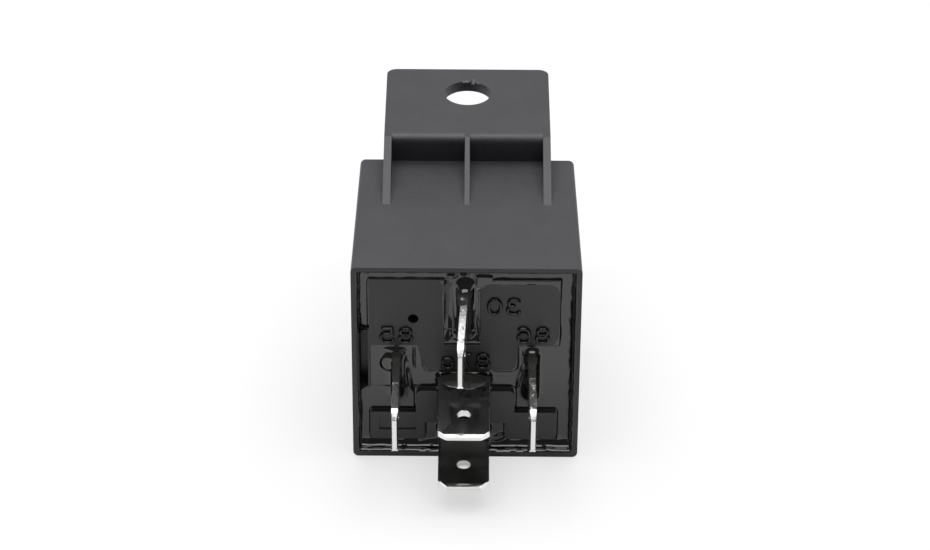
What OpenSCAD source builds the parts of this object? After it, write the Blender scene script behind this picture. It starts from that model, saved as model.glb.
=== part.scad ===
// Automotive changeover relay: five blade terminals, a moulded cover and a mounting tab.
// Millimetres. X runs across the body, Y from the blade tips to the end of the tab, and Z up.
// It lies on the face beside terminal 87. Every module is drawn from the cover's open rim, at
// Y = 0, and placed() moves it so that the origin is in the middle of the footprint.
// The armature is drawn released, as it is with no current in the coil.

/* [Cover] */
// Width of the cover at its open rim
body_w = 28.1; // [27:0.1:32]
// Height of the cover
body_h = 28.2; // [27:0.1:32]
// Depth of the cover from its rim to its closed end
body_d = 25.55; // [24:0.05:32]
// Thickness of the cover's walls
wall = 0.9; // [0.7:0.1:1.2]
// Mould draft of each side over the whole depth
draft = 0.45; // [0:0.05:0.5]
// Radius of the cover's long edges
edge_r = 0.7; // [0.4:0.1:2]
// Radius of the edges round the closed end
end_r = 0.4; // [0.2:0.1:0.8]
// Width of the lead-in chamfer inside the open rim
lead_in = 0.3; // [0.1:0.1:0.5]
// Side of the square ribs in the cavity's corners, which stop the base
stop_rib = 1.0; // [0.6:0.1:1.2]

/* [Mounting tab] */
// Width of the tab
tab_w = 21.1; // [16:0.1:25]
// Reach of the tab past the closed end
tab_len = 16.7; // [14:0.1:22]
// Thickness of the tab
tab_t = 1.4; // [1.2:0.1:2]
// Height of the tab's upper face above the cover
tab_rise = 3.6; // [2.6:0.1:5]
// Diameter of the mounting hole
hole_d = 6.0; // [4:0.1:7]
// Distance of the hole's centre from the end of the tab
hole_inset = 6.25; // [4.5:0.05:7]
// Radius of the tab's two outer corners
tab_corner_r = 1.3; // [0.3:0.1:3]
// Thickness of the riser that carries the tab
riser_t = 1.6; // [1.2:0.1:2]
// Distance of the riser's front face from the closed end
riser_inset = 0.55; // [0.3:0.05:1.2]
// Outer radius where the riser turns into the tab
bend_r = 1.1; // [0.3:0.1:1.1]
// Length of the gusset ribs along the cover
rib_len = 10.5; // [6:0.1:14]
// Thickness of the two outer ribs at the top
rib_t = 0.95; // [0.6:0.05:1.4]
// Thickness of the middle rib at the top
mid_rib_t = 0.6; // [0.4:0.05:1.2]
// How much thicker a rib is at its foot
rib_draft = 0.05; // [0:0.05:0.4]

/* [Terminals] */
// Width of a blade
blade_w = 6.3; // [5.6:0.1:6.6]
// Thickness of a blade
blade_t = 0.8; // [0.6:0.05:0.9]
// Reach of the blades past the rim
blade_len = 11.6; // [8:0.1:14]
// Length and width of the corner chamfers at a blade's tip
tip_chamfer = 1.05; // [0.3:0.05:1.4]
// Length of the bevels on the two faces of a tip
tip_bevel = 0.7; // [0.3:0.1:1.2]
// Depth of those bevels
tip_bevel_t = 0.15; // [0.1:0.05:0.25]
// Diameter of the hole in a blade
blade_hole_d = 1.7; // [1.2:0.1:2.2]
// Distance of the blade's hole from its tip
blade_hole_inset = 4.4; // [3:0.1:5.5]
// Shift of all the blades from the middle of the body
blade_x = -0.2; // [-0.3:0.1:0.3]
// Distance of blades 85 and 86 from blade 30
side_x = 8.35; // [8:0.05:9]
// Height of blades 85 and 86 above the middle of the body
side_up = -2.4; // [-2.8:0.1:-1.8]
// Height of blade 30 above the middle of the body
t30_up = 6.9; // [6.6:0.1:7.2]
// Angle by which blade 30 is knocked over to the left
t30_lean = 2.2; // [0:0.2:3]
// Height of blade 87a above the middle of the body
t87a_up = -2.9; // [-3.3:0.1:-2.5]
// Height of blade 87 above the middle of the body
t87_up = -10.4; // [-10.8:0.1:-10]

/* [Base] */
// Depth of the main panels behind the rim
panel_y = 1.2; // [1.1:0.1:1.4]
// Depth of the two middle pads behind the rim
pad_y = 0.7; // [0.4:0.1:1]
// Depth of the two lower plates behind the rim
plate_y = 0.85; // [0.5:0.05:1]
// Level of the sealant behind the rim
seal_y = 1.6; // [1.5:0.1:1.9]
// Depth of the floor below the sealant
floor_y = 2.2; // [2.1:0.1:2.3]
// Depth of the base's inner face behind the rim
back_y = 3.8; // [3.6:0.1:4.2]
// Gap between the base and the cover, and round each blade
fit = 0.05; // [0.03:0.01:0.1]
// Diameter of the vent hole
vent_d = 1.3; // [0.8:0.1:1.6]

/* [Magnet] */
// Thickness of the yoke
yoke_t = 1.5; // [1.2:0.1:1.8]
// Width of the yoke
yoke_w = 12.5; // [11:0.5:13]
// Diameter of the core
core_d = 6; // [5:0.2:7]
// Diameter of the core's pole disc
pole_d = 9; // [7.5:0.1:10]
// Thickness of the pole disc
pole_t = 0.9; // [0.6:0.1:1.2]
// Thickness of the bobbin's tube
bobbin_t = 0.85; // [0.6:0.05:1.1]
// Thickness of the bobbin's flanges
flange_t = 1.0; // [0.8:0.1:1.2]
// Gap between the winding and the yoke's long leg
coil_gap = 0.9; // [0.7:0.1:1.1]
// Thickness of the armature
armature_t = 1.4; // [1.1:0.1:1.6]
// Angle through which the armature swings
swing = 2.4; // [2:0.1:2.6]

/* [Contacts] */
// Diameter of the contact heads
contact_d = 3.0; // [2.4:0.1:3.2]
// Thickness of the contact spring
spring_t = 0.3; // [0.2:0.05:0.4]
// Diameter of the coil wire
wire_d = 0.4; // [0.2:0.05:0.5]

/* [Hidden] */
$fn = 48;

// Running clearance that the moving iron and the contacts keep
run_gap = 0.05;
// Overlap that lets two shapes of one piece fuse
bite = 0.1;

// Heights
mid_z = body_h / 2;
side_z = mid_z + side_up;
t30_z = mid_z + t30_up;
t87a_z = mid_z + t87a_up;
t87_z = mid_z + t87_up;
contact_z = t87_z + blade_t / 2 + 1.1;
shelf_top_z = contact_z + contact_d / 2 + 0.3;
flange_low_z = shelf_top_z + 0.4;
flange_lip = 0.2;
coil_r = mid_z - flange_low_z - flange_lip;
yoke_in_z = mid_z + coil_r + coil_gap;
yoke_out_z = yoke_in_z + yoke_t;

// Depths, worked in from the closed end to the armature and the pole
end_in_y = body_d - wall;
rivet_tail_t = 0.3;
head_t = 0.5;
nc_shelf_y1 = end_in_y - 0.2 - rivet_tail_t;
nc_shelf_y0 = nc_shelf_y1 - blade_t;
nc_face_y = nc_shelf_y0 - head_t;
reach = yoke_out_z - contact_z + contact_d / 2;
armature_y1 = nc_face_y - run_gap - reach * sin(swing) - head_t - spring_t;
armature_y0 = armature_y1 - armature_t;
pole_y = armature_y0 - run_gap;
spring_y = armature_y1 + spring_t / 2;
no_head_t = 0.8;
no_face_y = armature_y0 + 0.2;
no_shelf_y1 = no_face_y - no_head_t;
no_shelf_y0 = no_shelf_y1 - blade_t;

// Depths, worked in from the base to the lower flange
foot_gap = 0.8;
foot_y0 = back_y + foot_gap;
foot_y1 = foot_y0 + yoke_t;
low_flange_y1 = foot_y1 + flange_t;
top_flange_y1 = pole_y - pole_t;
top_flange_y0 = top_flange_y1 - flange_t;

// Widths
strap_x0 = blade_w / 2 + 0.95;
strap_x1 = blade_x + side_x - blade_t / 2 - 0.6;
shoulder = 0.5;
shoulder_y1 = back_y + 1.2;
groove_y = back_y - blade_t;
flange_x = coil_r + 0.6;
post_w = 1.2;
post_y1 = low_flange_y1 + 2.4;
tenon_w = 2.4;
tenon_down = 1.7;
free_z = shelf_top_z + 0.6;
rivet_d = 1.6;
spring_w = 8.4;
spring_tip_w = 4.2;
yoke_rivet_y = foot_y1 + 4.6;
yoke_rivet_x = 2.8;
arm_rivet_z = mid_z + 1;
arm_rivet_x = 2.6;
origin_y = (body_d + tab_len - blade_len) / 2;

module placed() {
    translate([0, -origin_y, 0]) children();
}

// Extrudes an outline drawn in X and Z from one depth to another
module across(y0, y1) {
    translate([0, y1, 0]) rotate([90, 0, 0]) linear_extrude(y1 - y0) children();
}

// Extrudes an outline drawn in Y and Z from one X to another
module sideways(x0, x1) {
    translate([x0, 0, 0]) rotate([90, 0, 90]) linear_extrude(x1 - x0) children();
}

// Cylinder along Y
module rod(y0, y1, d) {
    translate([0, y1, 0]) rotate([90, 0, 0]) cylinder(h = y1 - y0, d = d);
}

// Turns what was drawn pulled in to the released position
module released() {
    translate([0, pole_y, yoke_out_z]) rotate([swing, 0, 0]) translate([0, -pole_y, -yoke_out_z])
        children();
}

function arc(cx, cy, r, a0, a1, n = 6) =
    r > 0 ? [for (i = [0:n]) [cx + r * cos(a0 + (a1 - a0) * i / n),
                              cy + r * sin(a0 + (a1 - a0) * i / n)]]
          : [[cx, cy]];

// Outline of a box with its own radius at each corner, from the lower left round to the upper left
function round_box(x0, y0, x1, y1, r) = concat(
    arc(x0 + r[0], y0 + r[0], r[0], 180, 270),
    arc(x1 - r[1], y0 + r[1], r[1], 270, 360),
    arc(x1 - r[2], y1 - r[2], r[2], 0, 90),
    arc(x0 + r[3], y1 - r[3], r[3], 90, 180));

function half_w(y) = body_w / 2 - draft * y / body_d;

// Outer form of the cover: the rim's outline blended into the round closed end
module cover_block() {
    hull() {
        across(0, 0.01)
            polygon(round_box(-half_w(0), 0, half_w(0), body_h, [1, 1, 1, 1] * edge_r));
        for (a = [0:15:90]) {
            y = body_d - end_r + end_r * sin(a);
            in = end_r * (1 - cos(a));
            x = half_w(y) - in;
            across(y - 0.01, y)
                polygon(round_box(-x, in, x, body_h - in, [1, 1, 1, 1] * max(edge_r - in, 0.05)));
        }
    }
}

// Part of the cover's cavity between two depths, less a gap all round
module cavity(y0, y1, gap) {
    x0 = half_w(y0) - wall - gap;
    x1 = half_w(y1) - wall - gap;
    translate([0, 0, wall + gap]) linear_extrude(body_h - 2 * wall - 2 * gap)
        polygon([[-x0, y0], [x0, y0], [x1, y1], [-x1, y1]]);
}

module stop_ribs() {
    for (side = [-1, 1], z = [wall - bite, body_h - wall - stop_rib])
        translate([side * (half_w(body_d) - wall - stop_rib / 2) - stop_rib / 2, back_y, z])
            cube([stop_rib, end_in_y - back_y + bite, stop_rib + bite]);
    for (side = [-1, 1], z = [wall - bite, body_h - wall - stop_rib])
        translate([side * (half_w(back_y) - wall - stop_rib / 2) - stop_rib / 2, back_y, z])
            cube([stop_rib, end_in_y - back_y + bite, stop_rib + bite]);
}

// Riser, tab and the blend behind the riser, as seen from the side
module tab_outline() {
    y0 = body_d - riser_inset;
    y1 = y0 + riser_t;
    top = body_h + tab_rise;
    under = top - tab_t;
    inner_r = 0.8;
    polygon(concat(
        [[y0, body_h - wall]],
        arc(y0 + bend_r, top - bend_r, bend_r, 180, 90),
        [[body_d + tab_len, top], [body_d + tab_len, under]],
        arc(y1 + inner_r, under - inner_r, inner_r, 90, 180),
        [[y1, body_h - wall], [body_d, body_h - wall - 1.4], [body_d - wall / 2, body_h - wall - 1.4]],
        [[body_d - wall / 2, body_h - wall]]));
}

module tab() {
    end_y = body_d + tab_len;
    intersection() {
        sideways(-tab_w / 2, tab_w / 2) tab_outline();
        linear_extrude(body_h + tab_rise + 1)
            polygon(round_box(-tab_w / 2, body_d - riser_inset - 1, tab_w / 2, end_y,
                              [0, 0, tab_corner_r, tab_corner_r]));
    }
}

// One gusset rib between two X at the top, with draft at the foot on the sides asked for
module rib(x0, x1, draft0, draft1) {
    apex_y = body_d - riser_inset;
    foot_y = apex_y - rib_len;
    back_edge_y = apex_y + bend_r;
    top = body_h + tab_rise;
    intersection() {
        sideways(x0 - 1, x1 + 1)
            polygon([[foot_y, body_h], [apex_y, top], [back_edge_y, top],
                     [back_edge_y, body_h - wall / 2], [foot_y, body_h - wall / 2]]);
        across(foot_y - 1, back_edge_y + 1)
            polygon([[x0, top], [x1, top], [x1 + draft1, body_h - wall / 2],
                     [x0 - draft0, body_h - wall / 2]]);
    }
}

// Chip broken from the upper edge of the mounting hole: where it is, how wide, how far and how deep
module chip(angle, width, reach, depth) {
    start = 0.4;
    rotate([0, 0, angle]) translate([hole_d / 2, 0, tab_rise]) rotate([90, 0, 0])
        translate([0, 0, -width / 2]) linear_extrude(width)
            polygon([[-start, start], [reach, start], [reach, 0], [-start, -depth]]);
}

// Cut that widens the mouth of the cavity towards the rim
module mouth_cut() {
    x0 = half_w(0) - wall;
    intersection() {
        linear_extrude(body_h)
            polygon([[-x0 - lead_in, 0], [-x0 - lead_in - 1, -1], [x0 + lead_in + 1, -1],
                     [x0 + lead_in, 0], [x0, lead_in], [-x0, lead_in]]);
        sideways(-body_w, body_w)
            polygon([[-1, wall - lead_in - 1], [0, wall - lead_in], [lead_in, wall],
                     [lead_in, body_h - wall], [0, body_h - wall + lead_in],
                     [-1, body_h - wall + lead_in + 1]]);
    }
}

module cover() {
    hole_y = body_d + tab_len - hole_inset;
    color("#303133") placed() difference() {
        union() {
            cover_block();
            tab();
            rib(-tab_w / 2, -tab_w / 2 + rib_t, 0, rib_draft);
            rib(-mid_rib_t / 2, mid_rib_t / 2, rib_draft / 2, rib_draft / 2);
            rib(tab_w / 2 - rib_t, tab_w / 2, rib_draft, 0);
        }
        difference() {
            cavity(-1, end_in_y, 0);
            stop_ribs();
        }
        mouth_cut();
        translate([0, hole_y, body_h]) {
            cylinder(h = tab_rise + 1, d = hole_d);
            chip(94, 0.9, 0.38, 0.3);
            chip(77, 0.5, 0.8, 0.5);
            chip(64, 0.6, 0.3, 0.3);
        }
    }
}

// Outlines on the face of the base, in X and Z
side_area_z = side_z + 4.35;
panel_x = body_w / 2 - 2.15;
panel_top_z = body_h - 2.45;
channel_x0 = -2.7;
channel_x1 = 1.8;
middle_z0 = t87a_z + 1.05;
pocket_x0 = -half_w(back_y) + wall + fit;
pocket_x1 = -panel_x - 0.2;
pocket_z0 = mid_z - 4.15;
pocket_z1 = mid_z + 4.2;
pocket_depth = 2.0;
pocket_wall_t = 0.25;
pad_top_z = t87a_z - 1.65;
pad_low_z = pad_top_z - 4.85;
lower_top_z = pad_top_z - 3.35;
lower_z0 = wall + 1.2;

module panel_outline() {
    polygon([[-panel_x, side_area_z], [channel_x0, side_area_z], [channel_x0, panel_top_z],
             [-panel_x, panel_top_z]]);
    polygon([[channel_x1, side_area_z], [panel_x - 0.4, side_area_z], [panel_x - 0.4, panel_top_z],
             [channel_x1, panel_top_z]]);
    polygon(concat([[-6.0, side_area_z + bite], [-5.2, middle_z0]],
                   arc(6.4 - 1.2, middle_z0 + 1.2, 1.2, 270, 360),
                   [[6.4, side_area_z + bite]]));
}

module pad_outline() {
    polygon(round_box(-6.2, pad_low_z, blade_x - blade_w / 2 - 0.15, pad_top_z, [0, 0, 0.3, 0.8]));
    polygon(round_box(blade_x + blade_w / 2 + 0.1, pad_low_z, 6.1, pad_top_z, [0, 0, 0.8, 0.3]));
}

module plate_outline() {
    polygon(round_box(-panel_x + 0.1, lower_z0, -5.15, lower_top_z, [1, 1, 1, 1] * 0.2));
    polygon(round_box(5.0, lower_z0, panel_x - 0.6, lower_top_z, [1, 1, 1, 1] * 0.2));
}

// Shallow recess in the left-hand lower plate
module plate_recess() {
    across(plate_y - 1, plate_y + 0.2)
        polygon(round_box(-panel_x + 1.1, lower_z0 + 1.4, -6.2, lower_top_z - 0.7,
                          [1, 1, 1, 1] * 0.2));
}

module relief() {
    across(panel_y, floor_y + bite) panel_outline();
    across(pad_y, floor_y + bite) pad_outline();
    across(plate_y, floor_y + bite) plate_outline();
    pocket_wall(pocket_x0);
}

// Open pocket at the left-hand edge, grown by the thickness of the thin wall round it
module pocket_outline(x0, grow) {
    polygon([[x0, pocket_z0 - grow], [pocket_x1 + grow, pocket_z0 - grow],
             [pocket_x1 + grow, pocket_z1 + grow], [x0, pocket_z1 + grow]]);
}

module pocket_wall(x0) {
    across(panel_y, floor_y + bite) pocket_outline(x0, pocket_wall_t);
}

module pocket() {
    across(panel_y - 1, panel_y + pocket_depth) pocket_outline(pocket_x0 - 1, 0);
}

// The five blades' cross-sections in X and Z, each larger by a gap
module blade_sections(gap) {
    long = blade_w + 2 * gap;
    short = blade_t + 2 * gap;
    translate([blade_x, 0]) {
        translate([0, t87_z]) square([long, short], center = true);
        translate([0, t87a_z]) square([long, short], center = true);
        translate([0, t30_z]) square([short, long], center = true);
        for (side = [-1, 1]) translate([side * side_x, side_z]) square([short, long], center = true);
    }
}

// Flat strip of terminal 87a that lies in the back of the base, larger by a gap
module strap_outline(gap) {
    strap_low_z = t87_z - blade_t / 2;
    translate([blade_x - blade_w / 2 - gap, t87a_z - 2.2 - gap])
        square([strap_x1 - blade_x + blade_w / 2 + 2 * gap, 2.2 + blade_t / 2 + 2 * gap]);
    translate([strap_x0 - gap, strap_low_z - gap])
        square([strap_x1 - strap_x0 + 2 * gap, t87a_z - strap_low_z - 1 + gap]);
}

module stand_offs() {
    for (x = [-5, 5], z = [side_z + 1, t30_z - 0.5])
        translate([x - 1, back_y - bite, z - 1]) cube([2, foot_gap + bite, 2]);
}

module base() {
    color("#26282b") placed() difference() {
        union() {
            cavity(floor_y, back_y, fit);
            relief();
            stand_offs();
        }
        across(0, back_y + 1) blade_sections(fit);
        across(groove_y, back_y + 1) strap_outline(fit);
        pocket();
        plate_recess();
        translate([-6.5, 0, t30_z - 1.0]) rod(0, back_y + 1, vent_d);
    }
}

module sealant() {
    color("#17181a") placed() difference() {
        cavity(seal_y, floor_y, 0);
        relief();
        pocket_wall(-body_w / 2);
        across(0, back_y) blade_sections(0);
    }
}

// A blade lying flat in X and Y, from its tip to the depth asked for
module blade(y1) {
    tip = -blade_len;
    half = blade_w / 2;
    intersection() {
        translate([0, 0, -blade_t / 2]) linear_extrude(blade_t)
            polygon([[-half + tip_chamfer, tip], [half - tip_chamfer, tip],
                     [half, tip + tip_chamfer], [half, y1], [-half, y1],
                     [-half, tip + tip_chamfer]]);
        sideways(-half, half)
            polygon([[tip, -blade_t / 2 + tip_bevel_t], [tip + tip_bevel, -blade_t / 2],
                     [y1, -blade_t / 2], [y1, blade_t / 2], [tip + tip_bevel, blade_t / 2],
                     [tip, blade_t / 2 - tip_bevel_t]]);
    }
}

module blade_hole() {
    translate([0, blade_hole_inset - blade_len, -1]) cylinder(h = 2, d = blade_hole_d, $fn = 32);
}

// Flat strip in X and Y, as thick as a blade
module strip(x0, x1, y0, y1) {
    translate([x0, y0, -blade_t / 2]) cube([x1 - x0, y1 - y0, blade_t]);
}

// Blade 30 stands straight in the base and leans over from the face of the panels
module terminal_30() {
    color("#c9ccd0") placed() translate([blade_x, 0, t30_z]) {
        translate([0, panel_y, 0]) rotate([0, 0, -t30_lean]) translate([0, -panel_y, 0])
            rotate([0, 90, 0]) difference() {
                blade(panel_y + bite);
                blade_hole();
            }
        rotate([0, 90, 0]) {
            strip(-blade_w / 2, blade_w / 2, panel_y, foot_y0);
            strip(tenon_down - tenon_w / 2, tenon_down + tenon_w / 2, foot_y0 - bite, foot_y1);
        }
    }
}

function post_x(side) = blade_x + side * side_x;

// Blade of a coil terminal with its shoulder and the post that the wire is soldered to
module coil_terminal() {
    difference() {
        union() {
            blade(back_y);
            strip(-blade_w / 2 - shoulder, blade_w / 2 + shoulder, back_y, shoulder_y1);
            strip(-post_w / 2, post_w / 2, shoulder_y1 - bite, post_y1);
            strip(-blade_w / 2, blade_w / 2, back_y - bite, back_y + bite);
        }
        blade_hole();
    }
}

module terminal_85() {
    color("#c9ccd0") placed() translate([post_x(-1), 0, side_z]) rotate([0, 90, 0]) coil_terminal();
}

module terminal_86() {
    color("#c9ccd0") placed() translate([post_x(1), 0, side_z]) rotate([0, 90, 0]) coil_terminal();
}

// Contact shelf at the end of a riser, with the hole for the contact
module shelf(x0, x1, y0, y1) {
    difference() {
        across(y0, y1)
            polygon([[x0, t87_z - blade_t / 2], [x1, t87_z - blade_t / 2],
                     [x1, shelf_top_z], [x0, shelf_top_z]]);
        translate([0, 0, contact_z]) rod(y0 - 1, y1 + 1, rivet_d);
    }
}

module terminal_87() {
    riser_w = 5.2;
    color("#c9ccd0") placed() {
        translate([blade_x, 0, t87_z]) {
            difference() {
                blade(back_y);
                blade_hole();
            }
            strip(-blade_w / 2 - shoulder, blade_w / 2 + shoulder, back_y - bite, shoulder_y1);
        }
        translate([0, 0, t87_z]) strip(-riser_w / 2, riser_w / 2, back_y, no_shelf_y1);
        shelf(-riser_w / 2, riser_w / 2, no_shelf_y0, no_shelf_y1);
    }
}

module terminal_87a() {
    color("#c9ccd0") placed() {
        translate([blade_x, 0, t87a_z]) difference() {
            blade(back_y);
            blade_hole();
        }
        across(groove_y, back_y) strap_outline(0);
        translate([0, 0, t87_z]) strip(strap_x0, strap_x1, groove_y, nc_shelf_y1);
        shelf(-2.2, strap_x1, nc_shelf_y0, nc_shelf_y1);
    }
}

module yoke() {
    color("#b9bcbf") placed() difference() {
        union() {
            across(foot_y0, foot_y1)
                polygon([[-yoke_w / 2, mid_z - 4.6], [yoke_w / 2, mid_z - 4.6],
                         [yoke_w / 2, yoke_in_z + bite], [-yoke_w / 2, yoke_in_z + bite]]);
            sideways(-yoke_w / 2, yoke_w / 2)
                polygon(concat([[foot_y0, yoke_in_z]],
                               arc(foot_y0 + yoke_t, yoke_out_z - yoke_t, yoke_t, 180, 90),
                               [[pole_y, yoke_out_z], [pole_y, yoke_in_z]]));
        }
        translate([0, 0, mid_z]) rod(foot_y0 - 1, foot_y1 + 1, core_foot_d);
        translate([blade_x, 0, t30_z - tenon_down]) across(foot_y0 - 1, foot_y1 + 1)
            square([blade_t, tenon_w], center = true);
        for (side = [-1, 1]) translate([side * yoke_rivet_x, yoke_rivet_y, yoke_in_z - 1])
            cylinder(h = yoke_t + 2, d = rivet_d);
    }
}

core_foot_d = core_d - 1.5;

module core() {
    color("#a9acb0") placed() translate([0, 0, mid_z]) {
        rod(foot_y0, foot_y1 + bite, core_foot_d);
        rod(foot_y1, pole_y - pole_t + bite, core_d);
        rod(pole_y - pole_t, pole_y, pole_d);
    }
}

module flange(y0, y1) {
    across(y0, y1)
        polygon(round_box(-flange_x, flange_low_z, flange_x, yoke_in_z - 0.1, [1, 1, 1, 1]));
}

module bobbin() {
    foot_x = yoke_w / 2 + 0.1;
    color("#e8e4d8") placed() difference() {
        union() {
            flange(foot_y1, low_flange_y1);
            translate([0, 0, mid_z])
                rod(foot_y1, top_flange_y1, core_d + 2 * fit + 2 * bobbin_t);
            flange(top_flange_y0, top_flange_y1);
            for (side = [-1, 1])
                translate([side * (foot_x + flange_x) / 2 - (flange_x - foot_x) / 2, back_y, mid_z + 2.6])
                    cube([flange_x - foot_x, foot_gap + yoke_t + bite, 3]);
        }
        translate([0, 0, mid_z]) rod(foot_y1 - 1, top_flange_y1 + 1, core_d + 2 * fit);
    }
}

module winding() {
    color("#a8552b") placed() translate([0, 0, mid_z]) difference() {
        rod(low_flange_y1, top_flange_y0, 2 * coil_r);
        rod(low_flange_y1 - 1, top_flange_y0 + 1, core_d + 2 * fit + 2 * bobbin_t);
    }
}

// Wire from the outside of the winding to its post, on the side asked for
lead_y = low_flange_y1 + 1.0;

module coil_lead(side) {
    x0 = side * (coil_r + wire_d / 2);
    x1 = post_x(side) - side * (blade_t / 2 + wire_d / 2);
    translate([x0, lead_y, side_z]) cylinder(h = mid_z - side_z, d = wire_d, $fn = 24);
    translate([x0, lead_y, side_z]) sphere(d = wire_d, $fn = 24);
    translate([min(x0, x1), lead_y, side_z]) rotate([0, 90, 0])
        cylinder(h = abs(x1 - x0) + bite, d = wire_d, $fn = 24);
}

module coil_lead_85() {
    color("#a8552b") placed() coil_lead(-1);
}

module coil_lead_86() {
    color("#a8552b") placed() coil_lead(1);
}

// Bead of solder round a post, cut away where the post and the wire run through it
module solder(side) {
    difference() {
        translate([post_x(side), lead_y, side_z]) rotate([90, 0, 0])
            translate([0, 0, -0.6]) cylinder(h = 1.2, d = post_w + 0.8);
        translate([post_x(side), 0, side_z]) rotate([0, 90, 0])
            strip(-post_w / 2, post_w / 2, back_y, post_y1 + 1);
        coil_lead(side);
    }
}

module solder_85() {
    color("#d5d7da") placed() solder(-1);
}

module solder_86() {
    color("#d5d7da") placed() solder(1);
}

// Armature, wide at the heel on the yoke and narrow at the free end
module armature() {
    heel = yoke_w / 2 - 0.2;
    neck = 5.0;
    tip = 2.4;
    color("#b3b6b9") placed() released() difference() {
        across(armature_y0, armature_y1)
            polygon([[-tip, free_z], [tip, free_z], [neck, free_z + 3.6], [neck, mid_z + 4],
                     [heel, mid_z + 5.5], [heel, yoke_out_z], [-heel, yoke_out_z],
                     [-heel, mid_z + 5.5], [-neck, mid_z + 4], [-neck, free_z + 3.6]]);
        for (side = [-1, 1]) translate([side * arm_rivet_x, 0, arm_rivet_z])
            rod(armature_y0 - 1, armature_y1 + 1, rivet_d);
    }
}

// Path of the spring's loop over the heel: a curve between the yoke's back and the armature
loop_start = [pole_y - 3.6, yoke_out_z + spring_t / 2];
loop_end = turned([spring_y, mid_z + 6.2]);
loop_end_dir = [-sin(swing), cos(swing)];

function turned(p) = [
    pole_y + (p[0] - pole_y) * cos(swing) - (p[1] - yoke_out_z) * sin(swing),
    yoke_out_z + (p[0] - pole_y) * sin(swing) + (p[1] - yoke_out_z) * cos(swing)];

function bezier(p, t) = pow(1 - t, 3) * p[0] + 3 * pow(1 - t, 2) * t * p[1]
    + 3 * (1 - t) * t * t * p[2] + pow(t, 3) * p[3];

function slope(p, t) = 3 * pow(1 - t, 2) * (p[1] - p[0]) + 6 * (1 - t) * t * (p[2] - p[1])
    + 3 * t * t * (p[3] - p[2]);

function beside(p, t, d) = let (s = slope(p, t)) bezier(p, t) + d * [-s[1], s[0]] / norm(s);

module loop_outline() {
    p = [loop_start, loop_start + [4.4, 1.5], loop_end + 4.4 * loop_end_dir + [1.3, 0], loop_end];
    steps = 20;
    polygon(concat([for (i = [0:steps]) beside(p, i / steps, spring_t / 2)],
                   [for (i = [steps:-1:0]) beside(p, i / steps, -spring_t / 2)]));
}

module contact_spring() {
    color("#c79a55") placed() difference() {
        union() {
            translate([0, 0, yoke_out_z]) linear_extrude(spring_t)
                polygon(round_box(-spring_w / 2, yoke_rivet_y - 1.8, spring_w / 2,
                                  loop_start[0] + bite, [0.8, 0.8, 0, 0]));
            for (side = [-1, 1])
                sideways(side * 2.7 - 1.5, side * 2.7 + 1.5) loop_outline();
            released() across(armature_y1, armature_y1 + spring_t)
                polygon(concat(
                    arc(0, contact_z, spring_tip_w / 2, 180, 360, 16),
                    [[spring_tip_w / 2, free_z + 2], [spring_w / 2, arm_rivet_z - 2],
                     [spring_w / 2, mid_z + 6.2 + bite], [-spring_w / 2, mid_z + 6.2 + bite],
                     [-spring_w / 2, arm_rivet_z - 2], [-spring_tip_w / 2, free_z + 2]]));
        }
        for (side = [-1, 1]) {
            translate([side * yoke_rivet_x, yoke_rivet_y, yoke_out_z - 1])
                cylinder(h = 2, d = rivet_d);
            released() translate([side * arm_rivet_x, 0, arm_rivet_z])
                rod(armature_y1 - 1, armature_y1 + 1, rivet_d);
        }
        released() translate([0, 0, contact_z]) rod(armature_y1 - 1, armature_y1 + 1, rivet_d);
    }
}

module armature_rivets() {
    color("#cfd1d4") placed() released() for (side = [-1, 1])
        translate([side * arm_rivet_x, 0, arm_rivet_z]) {
            rod(armature_y0, armature_y1 + spring_t + bite, rivet_d);
            rod(armature_y1 + spring_t, armature_y1 + spring_t + 0.4, rivet_d + 0.8);
        }
}

module yoke_rivets() {
    color("#cfd1d4") placed() for (side = [-1, 1])
        translate([side * yoke_rivet_x, yoke_rivet_y, 0]) {
            translate([0, 0, yoke_in_z]) cylinder(h = yoke_t + spring_t + bite, d = rivet_d);
            translate([0, 0, yoke_out_z + spring_t]) cylinder(h = 0.4, d = rivet_d + 0.8);
        }
}

module moving_contact() {
    y0 = no_face_y + run_gap;
    color("#d9dadb") placed() released() translate([0, 0, contact_z]) {
        rod(y0, armature_y1, contact_d);
        rod(armature_y1 - bite, armature_y1 + spring_t + bite, rivet_d);
        rod(armature_y1 + spring_t, armature_y1 + spring_t + head_t, contact_d);
    }
}

module contact_no() {
    color("#d9dadb") placed() translate([0, 0, contact_z]) {
        rod(no_shelf_y0 - rivet_tail_t, no_shelf_y0, contact_d - 1.0);
        rod(no_shelf_y0 - bite, no_shelf_y1 + bite, rivet_d);
        rod(no_shelf_y1, no_face_y, contact_d);
    }
}

module contact_nc() {
    color("#d9dadb") placed() translate([0, 0, contact_z]) {
        rod(nc_face_y, nc_shelf_y0, contact_d);
        rod(nc_shelf_y0 - bite, nc_shelf_y1 + bite, rivet_d);
        rod(nc_shelf_y1, nc_shelf_y1 + rivet_tail_t, contact_d - 1.0);
    }
}

cover();
base();
sealant();
terminal_30();
terminal_85();
terminal_86();
terminal_87();
terminal_87a();
yoke();
core();
bobbin();
winding();
coil_lead_85();
coil_lead_86();
solder_85();
solder_86();
armature();
contact_spring();
armature_rivets();
yoke_rivets();
moving_contact();
contact_no();
contact_nc();
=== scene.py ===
# An automotive relay lying on its side on a pale table, with its five blades towards the viewer.
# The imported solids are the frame. Each section below dresses one piece, or adds what is on it.
import math

import bpy
import numpy as np
from mathutils import Matrix, Vector


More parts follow.
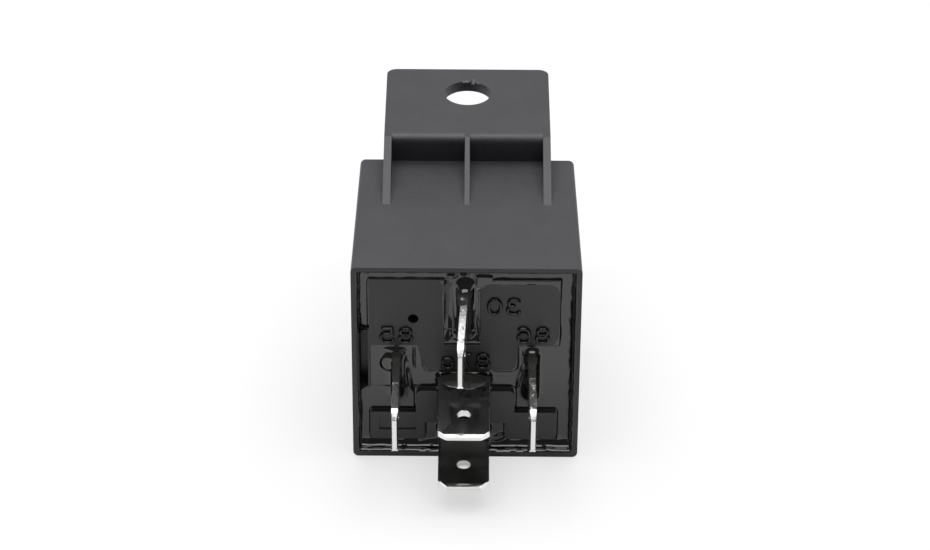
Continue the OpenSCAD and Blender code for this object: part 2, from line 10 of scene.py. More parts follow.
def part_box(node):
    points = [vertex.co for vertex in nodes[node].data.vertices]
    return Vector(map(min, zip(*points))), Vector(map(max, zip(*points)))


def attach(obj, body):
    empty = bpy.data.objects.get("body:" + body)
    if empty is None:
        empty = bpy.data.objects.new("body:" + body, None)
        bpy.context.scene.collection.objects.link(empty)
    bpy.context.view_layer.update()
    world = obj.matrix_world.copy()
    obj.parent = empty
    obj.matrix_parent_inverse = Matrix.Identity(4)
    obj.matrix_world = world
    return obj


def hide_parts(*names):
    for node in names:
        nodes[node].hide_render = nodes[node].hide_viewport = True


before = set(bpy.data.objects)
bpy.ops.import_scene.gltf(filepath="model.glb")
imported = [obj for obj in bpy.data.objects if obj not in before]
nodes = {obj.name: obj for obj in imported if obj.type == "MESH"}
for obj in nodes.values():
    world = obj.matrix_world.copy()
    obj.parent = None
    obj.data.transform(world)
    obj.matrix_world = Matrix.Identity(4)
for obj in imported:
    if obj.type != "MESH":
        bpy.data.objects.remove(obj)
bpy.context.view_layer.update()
MM = 0.001

# ---- Camera: a long lens, nearly level with the far edge of the table, looking down on the relay.
# The rim of the cover is the plane that depths are counted from, as its maker would.
rim_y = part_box("cover")[0].y
camera_data = bpy.data.cameras.new("camera")
camera = bpy.data.objects.new("camera", camera_data)
bpy.context.scene.collection.objects.link(camera)
camera_data.sensor_width = 36.0
camera_data.lens = 123.07
camera_data.clip_start = 0.01
camera_data.clip_end = 10.0
camera_tilt, camera_turn, camera_roll = math.radians(33.3), math.radians(0.014), math.radians(0.381)
forward = Vector((-math.sin(camera_turn) * math.cos(camera_tilt),
                  math.cos(camera_turn) * math.cos(camera_tilt), -math.sin(camera_tilt)))
level = forward.cross(Vector((0, 0, 1))).normalized()
upright = level.cross(forward)
right = math.cos(camera_roll) * level + math.sin(camera_roll) * upright
up = right.cross(forward)
turn = Matrix((right, up, -forward)).transposed().to_4x4()
camera_from_rim = Vector((-0.103, -321.345, 238.341)) * MM
camera.matrix_world = Matrix.Translation(camera_from_rim + Vector((0, rim_y, 0))) @ turn
bpy.context.scene.camera = camera


# ---- Table and light: a white table under a broad lamp and a narrow strip, which hang above the
# relay. The room is bright behind it and dark towards the viewer, so that the black parts keep shape.
class Level:
    """A socket that carries a number, so that a sum of shader values reads as a sum."""

    def __init__(self, finish, socket):
        self.finish, self.socket = finish, socket

    def _math(self, operation, first, second):
        return self.finish.node("Math", {"operation": operation}, {0: first, 1: second})

    def __add__(self, other):
        return self._math("ADD", self, other)

    __radd__ = __add__

    def __sub__(self, other):
        return self._math("SUBTRACT", self, other)

    def __rsub__(self, other):
        return self._math("SUBTRACT", other, self)

    def __mul__(self, other):
        return self._math("MULTIPLY", self, other)

    __rmul__ = __mul__

    def above(self, other):
        return self._math("GREATER_THAN", self, other)

    def bigger(self, other):
        return self._math("MAXIMUM", self, other)

    def size(self):
        return self._math("ABSOLUTE", self, 0.0)


class Finish:
    """The node tree of a material or of the world, built by naming each node's settings and inputs."""

    def __init__(self, block):
        block.use_nodes = True
        self.block, self.tree = block, block.node_tree
        self.tree.nodes.clear()

    def node(self, kind, settings=None, inputs=None, out=0):
        made = self.tree.nodes.new("ShaderNode" + kind)
        for key, value in (settings or {}).items():
            if key == "stops":
                ramp = made.color_ramp
                while len(ramp.elements) > 1:
                    ramp.elements.remove(ramp.elements[-1])
                ramp.elements[0].position, ramp.elements[0].color = value[0]
                for place, color in value[1:]:
                    ramp.elements.new(place).color = color
            else:
                setattr(made, key, value)
        for key, value in (inputs or {}).items():
            if isinstance(value, Level):
                self.tree.links.new(value.socket, made.inputs[key])
            else:
                made.inputs[key].default_value = value
        return Level(self, made.outputs[out])

    def place(self, stretch=(1, 1, 1)):
        """Where a point is on the piece, in metres, with each axis stretched."""
        return self.node("Mapping", {}, {"Vector": self.node("TexCoord", out="Object"), "Scale": stretch})

    def along(self, axis):
        """One coordinate of the point, in millimetres."""
        return self.node("SeparateXYZ", {}, {"Vector": self.place()}, "XYZ".index(axis)) * (1 / MM)

    def noise(self, size, detail=2.0, stretch=(1, 1, 1), roughness=0.5, distortion=0.0):
        """Cloudy noise from 0 to 1 whose blobs are about as large as size, in metres."""
        return self.node("TexNoise", {}, {"Vector": self.place(stretch), "Scale": 1 / size,
                                          "Detail": detail, "Roughness": roughness,
                                          "Distortion": distortion})

    def ramp(self, level, *stops):
        """Number that runs through (place, value) stops as the level rises."""
        greys = [(place, (v, v, v, 1)) for place, v in stops]
        return self.node("ValToRGB", {"stops": greys}, {"Fac": level})

    def mix(self, share, first, second):
        """Colour that goes from the first to the second as the share goes from 0 to 1."""
        return self.node("Mix", {"data_type": "RGBA"}, {0: share, 6: first, 7: second}, 2)

    def bump(self, height, distance):
        """Surface normal with this height, whose full step is distance in metres."""
        return self.node("Bump", {}, {"Height": height, "Distance": distance, "Strength": 1.0})

    def surface(self, **inputs):
        """Ends the material with a Principled shader that has these inputs."""
        words = {key: key.replace("_", " ").title().replace("Ior", "IOR") for key in inputs}
        shader = self.node("BsdfPrincipled", {}, {words[key]: value for key, value in inputs.items()})
        return self.ends_in(shader)

    def ends_in(self, shader, kind="Material"):
        out = self.tree.nodes.new("ShaderNodeOutput" + kind)
        self.tree.links.new(shader.socket, out.inputs["Surface"])
        return self.block


def paint(name):
    return Finish(bpy.data.materials.new(name))


def shade(v, tint=(1, 1, 1)):
    """Linear colour of an on-screen grey from 0 to 255, with a slight tint."""
    s = v / 255
    grey = s / 12.92 if s <= 0.04045 else ((s + 0.055) / 1.055) ** 2.4
    return (grey * tint[0], grey * tint[1], grey * tint[2], 1)


def solid(name, points, faces, smooth=True):
    """A piece with this mesh. Its points are in millimetres in the frame, as an array of rows."""
    mesh = bpy.data.meshes.new(name)
    mesh.from_pydata((np.asarray(points, float) * MM).tolist(), [], [list(f) for f in faces])
    mesh.update()
    if smooth:
        mesh.shade_smooth()
    piece = bpy.data.objects.new(name, mesh)
    bpy.context.scene.collection.objects.link(piece)
    return piece


table_reach = 3000
table_corners = [(-table_reach, -table_reach, 0), (table_reach, -table_reach, 0),
                 (table_reach, table_reach, 0), (-table_reach, table_reach, 0)]
table = solid("table", table_corners, [(0, 1, 2, 3)], False)
sweep = paint("white_sweep")
rays = sweep.tree.nodes.new("ShaderNodeLightPath")
by_eye, by_gloss = (Level(sweep, rays.outputs[kind]) for kind in ("Is Camera Ray", "Is Glossy Ray"))
paper = sweep.node("BsdfDiffuse", {}, {"Color": (0.69, 0.69, 0.695, 1)})
glow = sweep.node("Emission", {}, {"Color": (0.93, 0.93, 0.935, 1), "Strength": 1.0})
sweep.ends_in(sweep.node("MixShader", {}, {0: by_eye * 0.64 + by_gloss * 0.2, 1: paper, 2: glow}))
sweep.block.cycles.emission_sampling = "NONE"
table.data.materials.append(sweep.block)

studio = Finish(bpy.data.worlds.new("studio"))
bpy.context.scene.world = studio.block
seen_directly = Level(studio, studio.tree.nodes.new("ShaderNodeLightPath").outputs["Is Camera Ray"])
towards_back = studio.node("SeparateXYZ", {}, {"Vector": studio.node("TexCoord", out="Object")}, 1)
room = studio.ramp(towards_back * 0.5 + 0.5, (0.0, 0.13), (0.44, 0.13), (0.56, 0.8), (1.0, 0.85))
air = studio.node("Background", {}, {"Color": (0.97, 0.98, 1.0, 1),
                                     "Strength": room.bigger(seen_directly)})
studio.ends_in(air, "World")


def hang(name, size, energy, at):
    """Hangs a rectangular lamp, metres wide and deep, that points at the part."""
    data = bpy.data.lights.new(name, "AREA")
    data.shape = "RECTANGLE"
    data.size, data.size_y = size
    data.energy = energy
    lamp = bpy.data.objects.new(name, data)
    bpy.context.scene.collection.objects.link(lamp)
    lamp.location = at
    lamp.rotation_euler = (Vector((0, 0, 0.01)) - lamp.location).to_track_quat("-Z", "Y").to_euler()


hang("overhead", (0.8, 0.74), 6.2, (0.0, 0.0, 0.6))
hang("strip", (0.5, 0.03), 0.5, (0.0, 0.0, 0.5))

bpy.context.scene.view_settings.view_transform = "Standard"


# ---- Cover: one shell of black moulded plastic, with the fine grain of a spark-eroded mould.
# Its edges are barely rounded, as the mould leaves them.
def soften(name, width):
    """Closes a node's loose triangles and rounds its sharp edges by a width in millimetres. Flat
    faces are then split from the rounds, so that they shade flat."""
    node = nodes[name]
    weld = node.modifiers.new("weld", "WELD")
    weld.merge_threshold = 2e-6
    edge = node.modifiers.new("edge", "BEVEL")
    edge.width = width * MM
    edge.segments = 2
    edge.limit_method = "ANGLE"
    edge.angle_limit = math.radians(30)
    flats = node.modifiers.new("flats", "EDGE_SPLIT")
    flats.split_angle = math.radians(18)
    node.data.shade_smooth()


def dress(material, *names):
    """Gives nodes one finish in every slot they have."""
    for name in names:
        slots = nodes[name].data.materials
        if not slots:
            slots.append(material)
        for index in range(len(slots)):
            slots[index] = material


MOULD_TINT = (0.97, 0.965, 1.15)
moulded = paint("cover_black")
grain = moulded.noise(0.00022, 2.5, roughness=0.65)
cloud = moulded.noise(0.005, 3.0)
tone = moulded.mix(moulded.ramp(cloud + 0.25 * grain, (0.5, 0), (0.9, 1)),
                   shade(31, MOULD_TINT), shade(38, MOULD_TINT))
moulded_finish = moulded.surface(base_color=tone, roughness=0.42 + 0.16 * cloud,
                                 normal=moulded.bump(grain, 0.000045))
soften("cover", 0.12)
dress(moulded_finish, "cover")

# ---- Base: the moulded header that holds the blades, in a smoother black.
header = paint("base_black")
header_finish = header.surface(base_color=shade(27, MOULD_TINT),
                               roughness=0.36 + 0.08 * header.noise(0.003, 3.0),
                               normal=header.bump(header.noise(0.0002, 2.0), 0.000006))
soften("base", 0.08)
dress(header_finish, "base")

# ---- Potting: black epoxy poured over the base to seal it, and cured to a mirror gloss.
# It lies level between the raised blocks, climbs the blades and the cover's wall, and leaves
# films where it ran over the blocks' edges.
def away(x, z, box, radius=0.0):
    """Distance from points in the face to a box (x0, x1, z0, z1) with round corners: the length
    of what lies beyond its sides, less the radius, and negative inside."""
    x0, x1, z0, z1 = box
    beyond_x = np.abs(x - (x0 + x1) / 2) - (x1 - x0) / 2 + radius
    beyond_z = np.abs(z - (z0 + z1) / 2) - (z1 - z0) / 2 + radius
    corner = np.hypot(np.maximum(beyond_x, 0), np.maximum(beyond_z, 0))
    return corner + np.minimum(np.maximum(beyond_x, beyond_z), 0) - radius


def wander(x, z, size, seed, waves=9):
    """Smooth unevenness from about -1 to 1: a sum of waves in random directions, size long."""
    draw = np.random.default_rng(seed)
    turn, start = draw.uniform(0, 2 * math.pi, waves), draw.uniform(0, 2 * math.pi, waves)
    rate = 2 * math.pi / size * draw.uniform(0.6, 1.5, waves)
    return sum(np.sin(rate[i] * (x * math.cos(turn[i]) + z * math.sin(turn[i])) + start[i])
               for i in range(waves)) / math.sqrt(waves)


def mound(x, z, at, reach, tilt=0.0, sharp=1.0):
    """Swelling from 0 to 1: one over one plus a power of the distance, counted in reaches, so a
    high power leaves a flat top with steep sides. The tilt is in degrees."""
    c, s = math.cos(math.radians(tilt)), math.sin(math.radians(tilt))
    along = ((x - at[0]) * c + (z - at[1]) * s) / reach[0]
    over = (-(x - at[0]) * s + (z - at[1]) * c) / reach[1]
    return 1 / (1 + (along ** 2 + over ** 2) ** (2 * sharp))


# Millimetres, and boxes as (x0, x1, z0, z1). Depths count from the cover's rim into the relay.
rim = rim_y / MM
MOUTH = (-13.44, 13.44, 0.61, 27.59)
POCKET_Z, POCKET_WALL_X = (9.83, 18.42), -11.87
POOL_DEPTH, PANEL_DEPTH = 1.6, 1.2
FILM_THICKNESS, FILM_DROP = 0.035, 0.42
CORNER_SHARPNESS = 14
blade_half, blade_half_t = 3.15, 0.4
blade_at = {"30": (-0.2, 21.0), "85": (-8.55, 11.7), "86": (8.15, 11.7),
            "87": (-0.2, 3.7), "87a": (-0.2, 11.2)}
upright_blades = ("30", "85", "86")


# (blade, height of the climb, its reach, height of the low skirt round it)
CLIMBS = (("30", 1.7, 0.42, 0.10), ("85", 0.75, 0.45, 0.08), ("86", 1.6, 0.34, 0.08),
          ("87", 1.2, 0.2, 0.0), ("87a", 1.5, 0.2, 0.0))
# (height of the steep climb, its reach, height of the gentle one, its reach) at each side of the mouth
WALL_LEFT, WALL_RIGHT = (1.3, 0.07, 0.05, 0.4), (0.9, 0.1, 0.45, 0.3)
WALL_BELOW, WALL_ABOVE = (0.45, 0.07, 0.9, 0.8), (1.1, 0.1, 0.25, 0.4)
# Blocks of the base that the resin shows through: the film round them, and the part that stays dry
LEFT_PANEL, RIGHT_PANEL = (-11.85, -2.72, 16.1, 25.7), (1.82, 11.47, 16.1, 25.7)
RIGHT_PANEL_CORNER, MIDDLE_BLOCK = (1.2, 3.2, 24.6, 26.2), (-5.2, 6.35, 12.28, 16.1)
DRY_LEFT, DRY_RIGHT = (-13.5, -2.92, 15.2, 25.8), (1.55, 11.35, 16.2, 25.05)
DRY_MIDDLE, GAP_ABOVE_MIDDLE = (-5.1, 6.2, 12.45, 17.0), (-2.9, 1.9, 15.95, 16.15)
GAP_BETWEEN_PANELS = (-2.9, 1.9, 16.4, 25.2)
VENT, VENT_REACH, VENT_DEPTH = (-6.5, 20.05), (0.85, 0.85), 2.3
# Edges of the left panel, the plates and the pads, where the resin sinks along a seam
SEAMS = ((-11.95, -11.94, 16.4, 25.5), (-11.8, -5.15, 2.1, 6.2), (5.0, 11.3, 2.1, 6.2),
         (-6.2, -3.5, 4.7, 9.55), (3.05, 6.1, 4.7, 9.55))
SEAM_DEPTH = 0.13
# (place, reach, tilt, sharpness, height) of each lump in the resin
LUMPS = (((-9.6, 13.5), (0.95, 1.2), -25, 1.7, 0.5), ((-7.0, 10.9), (0.22, 1.6), 8, 1.5, 0.45),
         ((6.65, 11.1), (0.2, 1.6), -10, 1.5, 0.45), ((-9.0, 15.35), (1.5, 0.22), 0, 1.5, 0.16),
         ((-6.4, 14.2), (0.14, 1.6), 0, 1.0, 0.22), ((-1.9, 26.1), (0.55, 0.35), 0, 1.5, 0.35),
         ((4.1, 2.0), (1.2, 0.5), 25, 1.0, 0.5), ((-0.1, 24.9), (1.1, 0.9), 0, 1.5, 0.5),
         ((11.65, 19.0), (0.2, 0.3), 0, 1.0, 0.1), ((11.7, 17.9), (0.14, 0.6), 0, 1.0, 0.1),
         ((11.75, 16.3), (0.14, 0.5), 0, 1.0, 0.1))


def blade_box(name):
    x, z = blade_at[name]
    half_x, half_z = (blade_half_t, blade_half) if name in upright_blades else (blade_half, blade_half_t)
    return (x - half_x, x + half_x, z - half_z, z + half_z)


def pool_rise(x, z):
    """How far the resin stands above its level pool. At a blade it falls off by a power of e with
    the distance, and the lumps are mounds."""
    rise = np.zeros_like(x)
    for name, height, reach, skirt in CLIMBS:
        gap = np.maximum(away(x, z, blade_box(name), 0.3), 0)
        rise += height * np.exp(-gap / (reach * (1 + 0.09 * wander(x, z, 4.0, 11))))
        rise += skirt * np.exp(-(gap / 1.15) ** 4)
    for at, reach, tilt, sharp, height in LUMPS:
        rise += height * mound(x, z, at, reach, tilt, sharp)
    return rise + 0.008 * wander(x, z, 7.0, 3)


def film_depth(x, z):
    """Depth of the film over the blocks: thin inside its shore, and beyond it falling off by a
    power of e with the distance."""
    dry_left, dry_right = away(x, z, DRY_LEFT, 1.4), away(x, z, DRY_RIGHT, 1.5)
    dry_middle = away(x, z, DRY_MIDDLE, 0.9)
    over_left = away(x, z, LEFT_PANEL)
    over_right = np.minimum(away(x, z, RIGHT_PANEL), away(x, z, RIGHT_PANEL_CORNER, 0.3))
    shore = np.minimum(np.maximum(-np.minimum(dry_left, dry_middle), over_left),
                       np.maximum(-np.minimum(dry_right, dry_middle), over_right))
    shore = np.minimum(shore, np.maximum(-dry_middle, away(x, z, MIDDLE_BLOCK, 0.8)))
    shore = np.minimum(shore, away(x, z, GAP_ABOVE_MIDDLE))
    shore += 0.04 * wander(x, z, 3.0, 5)
    drop_reach = 0.2 + 0.6 / (1 + np.exp(6 * away(x, z, GAP_BETWEEN_PANELS)))
    inside = PANEL_DEPTH - FILM_THICKNESS * (1 - np.exp(np.minimum(shore, 0) / 0.12))
    beyond = PANEL_DEPTH + FILM_DROP * (1 - np.exp(-np.maximum(shore, 0) / drop_reach))
    return np.where(shore < 0, inside, beyond + np.maximum(shore - 0.9, 0))


def potting_depth(x, z):
    """Depth of the resin below the rim: the least depth of the pool, the films and the climb at
    each wall, blended where they meet, and then the vent's hole and the seams sunk in it."""
    ragged = 1 + 0.1 * wander(x, z, 5.0, 7) + 0.09 * wander(x, z, 1.6, 8)
    walls = [wall_climb(gap * ragged, *shape) for gap, shape in (
        (x - MOUTH[0], WALL_LEFT), (MOUTH[1] - x, WALL_RIGHT),
        (z - MOUTH[2], WALL_BELOW), (MOUTH[3] - z, WALL_ABOVE))]
    layers = (POOL_DEPTH - pool_rise(x, z), film_depth(x, z), *walls)
    depth = -np.log(sum(np.exp(-CORNER_SHARPNESS * layer) for layer in layers)) / CORNER_SHARPNESS
    seam = sum(np.exp(-((away(x, z, box, 0.25) - 0.1) / 0.08) ** 2) for box in SEAMS)
    return depth + SEAM_DEPTH * seam + VENT_DEPTH * mound(x, z, VENT, VENT_REACH, 0, 4.0)


def wall_climb(gap, steep, steep_reach, gentle, gentle_reach):
    """Depth of the resin at a distance from the mouth's edge: it lies on the lead-in for the
    first 0.3 mm, and then falls off in a steep and a gentle power of e."""
    beyond = np.maximum(gap - 0.3, 0)
    fall = steep * (1 - np.exp(-beyond / steep_reach)) + gentle * (1 - np.exp(-beyond / gentle_reach))
    return np.where(gap < 0.3, gap - 0.03, 0.27) + fall


# The surface is a grid over the mouth. Beside the pocket it starts at the pocket's wall.
GRID = 300
BACK_DEPTH = 4.0
row = np.linspace(MOUTH[2], MOUTH[3], GRID)
left = np.where((row > POCKET_Z[0]) & (row < POCKET_Z[1]), POCKET_WALL_X, MOUTH[0])
face_x = left[:, None] + (MOUTH[1] - left[:, None]) * np.linspace(0, 1, GRID)
face_z = np.repeat(row[:, None], GRID, 1)
front = np.stack([face_x, rim + potting_depth(face_x, face_z), face_z], -1).reshape(-1, 3)
number = np.arange(GRID * GRID).reshape(GRID, GRID)
edge_ring = np.concatenate([number[0, :-1], number[:-1, -1], number[-1, :0:-1], number[:0:-1, 0]])
back = front[edge_ring] * (1, 0, 1) + (0, rim + BACK_DEPTH, 0)
back_ring = len(front) + np.arange(len(back))
skin = np.stack([number[:-1, :-1], number[:-1, 1:], number[1:, 1:], number[1:, :-1]], -1).reshape(-1, 4)
side = np.stack([edge_ring, back_ring, np.roll(back_ring, -1), np.roll(edge_ring, -1)], -1)
potting = solid("potting", np.vstack([front, back]),
                skin.tolist() + side.tolist() + [back_ring[::-1].tolist()])
resin = paint("resin_black")
resin_finish = resin.surface(base_color=shade(16), roughness=0.06, ior=1.66,
                             normal=resin.bump(resin.noise(0.0012, 1.0), 0.000004))
potting.data.materials.append(resin_finish)
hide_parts("sealant")
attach(potting, "housing")


def coat(name, reach_out, top_reach, bulge):
    """Skin of resin that crept along a blade's root: the blade's outline, grown by a thickness
    that thins out to nothing at an end that lies further out where the outline faces up. Where it
    faces up there is a thicker roll too, which ends with a blunt lip at the bulge's reach."""
    x0, x1, z0, z1 = blade_box(name)
    corners = np.array([(x1, z0), (x1, z1), (x0, z1), (x0, z0)])
    spot, facing = [], []
    for k in range(4):
        sweep_angle = np.linspace(-0.5 * math.pi, 0, 5) + k * math.pi / 2
        spot.append(np.repeat(corners[k:k + 1], 5, 0))
        facing.append(np.stack([np.cos(sweep_angle), np.sin(sweep_angle)], 1))
        share = np.linspace(0, 1, 16)[1:-1, None]
        spot.append(corners[k] * (1 - share) + corners[(k + 1) % 4] * share)
        facing.append(np.repeat(facing[-1][-1:], 14, 0))
    spot, facing = np.vstack(spot), np.vstack(facing)
    middle = 1 - ((spot[:, 0] - (x0 + x1) / 2) / ((x1 - x0) / 2 + 0.01)) ** 2
    upward = np.maximum(facing[:, 1], 0) * (middle if name not in upright_blades else 1)
    end = -reach_out - (top_reach - reach_out) * upward + 0.12 * wander(spot[:, 0], spot[:, 1], 2.0, 21)
    run = np.array([0, 0.12, 0.24, 0.32, 0.38, 0.44, 0.5, 0.56, 0.62, 0.7, 0.8, 0.9, 0.97, 1.0])
    depth = 1.4 + (end[None] - 1.4) * run[:, None]
    lip = bulge * (0.35 + 0.65 * upward) - 0.25 * wander(spot[:, 0], spot[:, 1], 1.6, 33)
    thick = 0.07 + 0.27 * upward / (1 + np.exp(np.clip((-depth - lip) / 0.07, -30, 30)))
    thick[-2:] = [[0.045], [-0.03]]
    at = spot[None] + facing[None] * thick[:, :, None]
    lean = BLADE_LEAN * np.minimum(depth - PANEL_DEPTH, 0) if name == "30" else 0 * depth
    return np.stack([at[:, :, 0] + lean, rim + depth, at[:, :, 1]], -1)


def tube_faces(rows, columns, start):
    """Quads between the rows of a closed section that runs along a path, with both ends shut."""
    n = start + np.arange(rows * columns).reshape(rows, columns)
    ring = np.roll(n, -1, 1)
    quads = np.stack([n[:-1], ring[:-1], ring[1:], n[1:]], -1).reshape(-1, 4)
    return quads.tolist() + [n[0][::-1].tolist(), n[-1].tolist()]


BLADE_LEAN = math.tan(math.radians(2.2))
# (blade, reach past the rim, reach where the outline faces up, reach of the thick roll)
COATS = (("30", 0.6, 2.4, 1.3), ("85", 1.5, 5.2, 0.8), ("86", 1.2, 4.2, 1.7),
         ("87", 0.2, 1.3, 0.3), ("87a", 0.1, 1.9, 1.2))
points, faces = [], []
for name, *reaches in COATS:
    section = coat(name, *reaches)
    faces += tube_faces(section.shape[0], section.shape[1], sum(len(p) for p in points))
    points.append(section.reshape(-1, 3))
coats = solid("blade_coats", np.vstack(points), faces)
thin_resin = paint("thin_resin")
coats.data.materials.append(thin_resin.surface(
    base_color=shade(46, (1, 0.96, 0.9)), roughness=0.12, ior=1.6,
    normal=thin_resin.bump(thin_resin.noise(0.0003, 3.0), 0.00002)))
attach(coats, "housing")

# ---- Numbers: the terminals' plain numbers stand on the base in rounded strokes, moulded in one
# with it. Here each digit is mirrored from side to side. A real one is turned by half a circle
# instead, so that it is the right way up in a fuse box.
def rounded_path(points, steps=9):
    """A smooth line through points: between each pair, the cubic whose slopes at its ends are
    half the step from the point before to the point after."""
    p = np.asarray(points, float)
    p = np.vstack([2 * p[0] - p[1], p, 2 * p[-1] - p[-2]])
    t = np.linspace(0, 1, steps, endpoint=False)[:, None]
    parts = [0.5 * (2 * p[i] + (p[i + 1] - p[i - 1]) * t
                    + (2 * p[i - 1] - 5 * p[i] + 4 * p[i + 1] - p[i + 2]) * t ** 2
                    + (3 * p[i] - p[i - 1] - 3 * p[i + 1] + p[i + 2]) * t ** 3)
             for i in range(1, len(p) - 2)]
    return np.vstack(parts + [p[-2:-1]])


def loop(x, z, half_x, half_z):
    turn = np.linspace(0, 2 * math.pi, 41)
    return np.stack([x + half_x * np.sin(turn), z + half_z * np.cos(turn)], 1)


# Each digit's lines, in a field that is 0.68 wide and 1 tall
GLYPHS = {
    "0": [loop(0.34, 0.5, 0.32, 0.5)],
    "3": [rounded_path([(0.05, 0.84), (0.16, 0.96), (0.34, 1.0), (0.54, 0.93), (0.6, 0.76),
                        (0.53, 0.6), (0.3, 0.54)]),
          rounded_path([(0.3, 0.54), (0.54, 0.49), (0.66, 0.32), (0.6, 0.1), (0.36, 0.0),
                        (0.14, 0.04), (0.03, 0.17)])],
    "5": [rounded_path([(0.6, 1.0), (0.36, 1.0), (0.12, 1.0), (0.1, 0.8), (0.07, 0.55), (0.2, 0.62),
                        (0.38, 0.65), (0.58, 0.56), (0.66, 0.34), (0.57, 0.1), (0.34, 0.0),
                        (0.13, 0.04), (0.02, 0.17)])],
    "6": [loop(0.34, 0.31, 0.3, 0.31),
          rounded_path([(0.05, 0.36), (0.06, 0.66), (0.16, 0.9), (0.36, 1.0), (0.54, 0.95), (0.61, 0.83)])],
    "7": [rounded_path([(0.04, 1.0), (0.34, 1.0), (0.63, 1.0), (0.44, 0.66), (0.3, 0.34), (0.22, 0.0)])],
    "8": [loop(0.34, 0.76, 0.26, 0.23), loop(0.34, 0.27, 0.31, 0.27)],
    "a": [loop(0.3, 0.27, 0.25, 0.27),
          rounded_path([(0.08, 0.56), (0.2, 0.68), (0.38, 0.69), (0.55, 0.58), (0.56, 0.3), (0.6, 0.0)])]}
STROKE, STAND = 0.47, 0.42


def stroke_ridge(path):
    """A ridge along a line on the base's face: its section is half of an oval that stands out of
    the face, closed below it, and the end sections shrink to round ends."""
    ahead = np.gradient(path, axis=0)
    ahead /= np.linalg.norm(ahead, axis=1)[:, None]
    aside = np.stack([-ahead[:, 1], ahead[:, 0]], 1)
    around = np.linspace(-0.25 * math.pi, 1.25 * math.pi, 12)
    width, height = STROKE / 2 * np.cos(around), STAND * np.sin(around)
    wide = np.ones(len(path))
    wide[[0, -1]] = 0.35
    spine = path.copy()
    if np.hypot(*(path[0] - path[-1])) > 0.01:
        spine[0] -= ahead[0] * STROKE * 0.3
        spine[-1] += ahead[-1] * STROKE * 0.3
    else:
        wide[:] = 1
    out = spine[:, None] + aside[:, None] * (wide[:, None] * width)[:, :, None]
    depth = PANEL_DEPTH - wide[:, None] * height
    return np.stack([out[:, :, 0], rim + depth, out[:, :, 1]], -1)


FIELD_WIDTH = 2.36
# (number, x of its right end, z of its foot, height of a digit, step from digit to digit)
LABELS = (("30", 6.62, 20.85, 2.12, 2.34), ("85", -6.62, 16.58, 2.05, 2.28),
          ("86", 10.2, 16.65, 2.1, 2.3), ("87a", 2.9, 12.8, 2.05, 2.2))
points, faces = [], []
for text, text_right, low, tall, pitch in LABELS:
    for index, glyph in enumerate(text):
        for path in GLYPHS[glyph]:
            placed = (text_right - index * pitch, low) + path * (-FIELD_WIDTH, tall)
            section = stroke_ridge(placed)
            faces += tube_faces(section.shape[0], section.shape[1], sum(len(p) for p in points))
            points.append(section.reshape(-1, 3))
numbers = solid("terminal_numbers", np.vstack(points), faces)
# Painted shade: the strokes are coloured darker than the base they are moulded in one with, for the dark
# shading along them.
numbers_shade_paint = paint("number_painted_shade")
numbers.data.materials.append(numbers_shade_paint.surface(
    base_color=shade(14, MOULD_TINT), roughness=0.24,
    normal=numbers_shade_paint.bump(numbers_shade_paint.noise(0.0002, 2.0), 0.000006)))
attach(numbers, "housing")

# ---- Terminals: five blades stamped from brass strip and tin-plated. The rolled faces are a soft
# mirror with fine scratches along the blade, and the sheared edges are rough and catch the light.
# The faces' tin is painted darker than the edges', as painted shade on what the faces mirror.
EDGE_FROM, SHOULDER_REACH, STAIN_REACH = 3.12, 10.55, 10.4


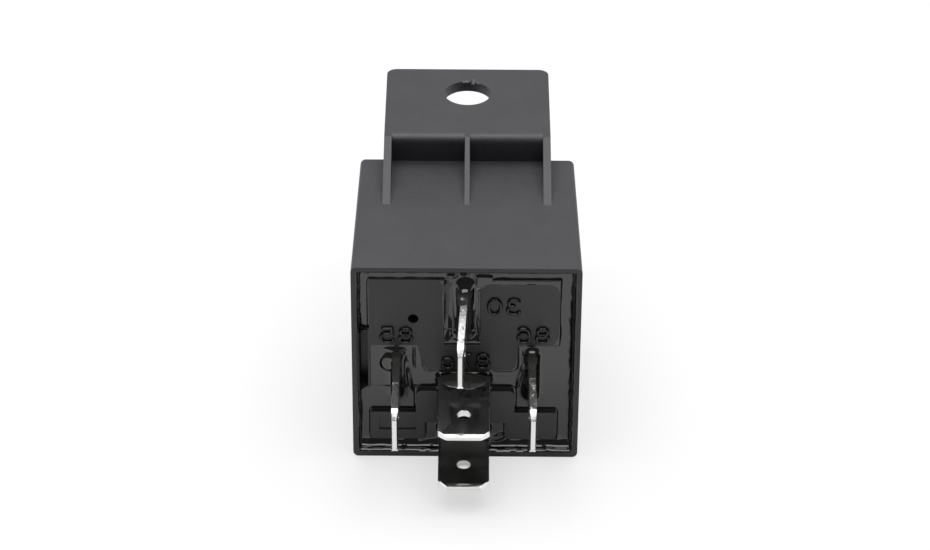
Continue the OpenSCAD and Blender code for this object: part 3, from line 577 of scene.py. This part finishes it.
def tinned(name, width_axis, middle, stained):
    """Tin plate for one blade. It is a sheared edge far enough from its middle across its width,
    and in front of its shoulders, and a share of that edge is stained near the resin."""
    tin = paint("tin_" + name)
    scratches = tin.noise(0.0001, 3.0, (1, 0.03, 1), roughness=0.7)
    soft = tin.noise(0.0015, 2.0, (1, 0.5, 1))
    torn = tin.noise(0.00025, 4.0, (1, 0.6, 1), roughness=0.75, distortion=0.6)
    chamfer = (rim - SHOULDER_REACH - tin.along("Y")).bigger(0.0)
    edge = ((tin.along(width_axis) - middle).size() + chamfer).above(EDGE_FROM)
    pits = tin.ramp(tin.noise(0.0006, 5.0, roughness=0.8), (0.62, 0.0), (0.72, 1.0))
    near = tin.along("Y").above(rim - STAIN_REACH)
    blotches = tin.noise(0.0005, 4.0, (1, 0.5, 1), roughness=0.7) + 0.28 * (stained - 0.5)
    stain = tin.ramp(blotches, (0.5, 0), (0.56, 1)) * edge * near
    height = 0.035 * scratches * (1 - edge) + edge * torn
    # Painted shade: the same tin is darker on the faces (212) than on the sheared edges (240), to dim what
    # the faces mirror.
    plate = tin.mix(edge, shade(212, (1, 0.995, 0.97)), shade(240, (1, 0.995, 0.97)))
    pitted = tin.mix(pits * 0.35, plate, shade(150, (1, 0.96, 0.88)))
    colour = tin.mix(stain, pitted, shade(58, (1, 0.95, 0.88)))
    return tin.surface(base_color=colour, metallic=1 - 0.9 * stain,
                       roughness=0.1 + 0.1 * soft + edge * 0.12 + pits * 0.1,
                       normal=tin.bump(height + 0.02 * soft, 0.00005))


for name, width_axis, stained in (("30", "Z", 0.2), ("85", "Z", 1.0), ("86", "Z", 0.9),
                                  ("87", "X", 0.0), ("87a", "X", 0.0)):
    soften("terminal_" + name, 0.05)
    dress(tinned(name, width_axis, blade_at[name]["XZ".index(width_axis)], stained), "terminal_" + name)

# ---- Magnet: the yoke and armature are stamped and bent from plated soft iron, and the core is
# turned from it. Rivets of the same finish hold the spring to the yoke and to the armature.
iron = paint("plated_iron")
iron_finish = iron.surface(base_color=(0.55, 0.55, 0.54, 1), metallic=1.0, roughness=0.35)
dress(iron_finish, "yoke", "core", "armature", "armature_rivets", "yoke_rivets")

# ---- Coil: a pale moulded bobbin, wound with enamelled copper wire. The wire's two ends run to
# the coil's blades.
nylon = paint("bobbin_nylon")
dress(nylon.surface(base_color=(0.72, 0.68, 0.58, 1), roughness=0.5), "bobbin")
enamel = paint("copper_enamel")
dress(enamel.surface(base_color=(0.5, 0.16, 0.05, 1), metallic=0.9, roughness=0.3),
      "winding", "coil_lead_85", "coil_lead_86")

# ---- Contacts and spring: silver contacts riveted to a leaf of copper alloy and to the blades'
# shelves, and solder where the wire's ends meet the blades.
solder = paint("solder_grey")
dress(solder.surface(base_color=(0.62, 0.63, 0.64, 1), metallic=1.0, roughness=0.3),
      "solder_85", "solder_86", "moving_contact", "contact_no", "contact_nc")
spring = paint("spring_copper")
dress(spring.surface(base_color=(0.72, 0.45, 0.2, 1), metallic=1.0, roughness=0.25), "contact_spring")
